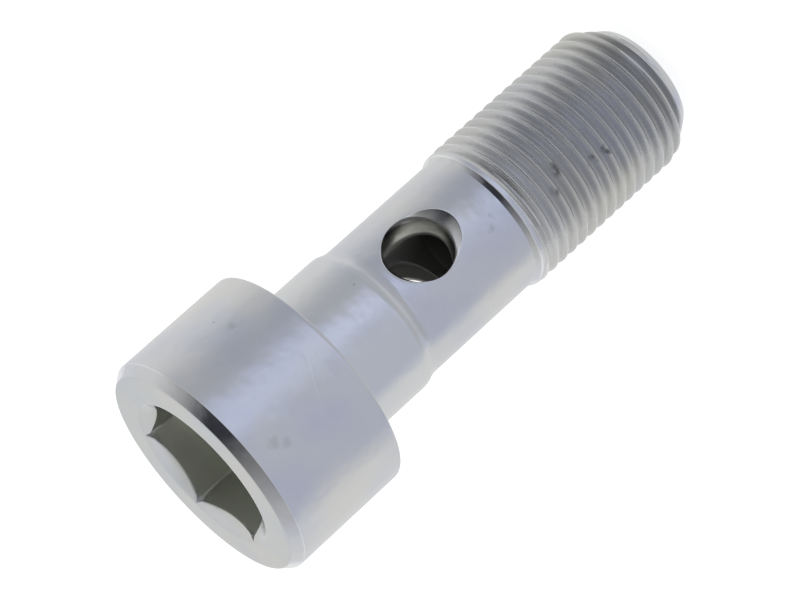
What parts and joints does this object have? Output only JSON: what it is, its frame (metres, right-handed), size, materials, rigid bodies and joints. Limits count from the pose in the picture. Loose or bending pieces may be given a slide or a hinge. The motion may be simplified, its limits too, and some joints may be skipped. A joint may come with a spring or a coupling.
{
  "type": "banjo bolt",
  "caption": "Hollow bolt with a socket cap head, a cross hole in its waist and a fine thread, for clamping a banjo fitting and passing fluid through its shank.",
  "frame": {"origin": "centre of the tip's end face, on the bolt's axis, which is the point on the surface it stands on", "axes": "+Z along the bolt's axis from the tip to the socket head; +Y and -Y along the cross hole"},
  "size_m": [0.018, 0.018, 0.0438],
  "materials": {
    "zinc_plated_steel": "bright zinc plating over turned and rolled steel"
  },
  "bodies": {
    "root": {"banjo_bolt": "zinc_plated_steel"}
  },
  "joints": []
}
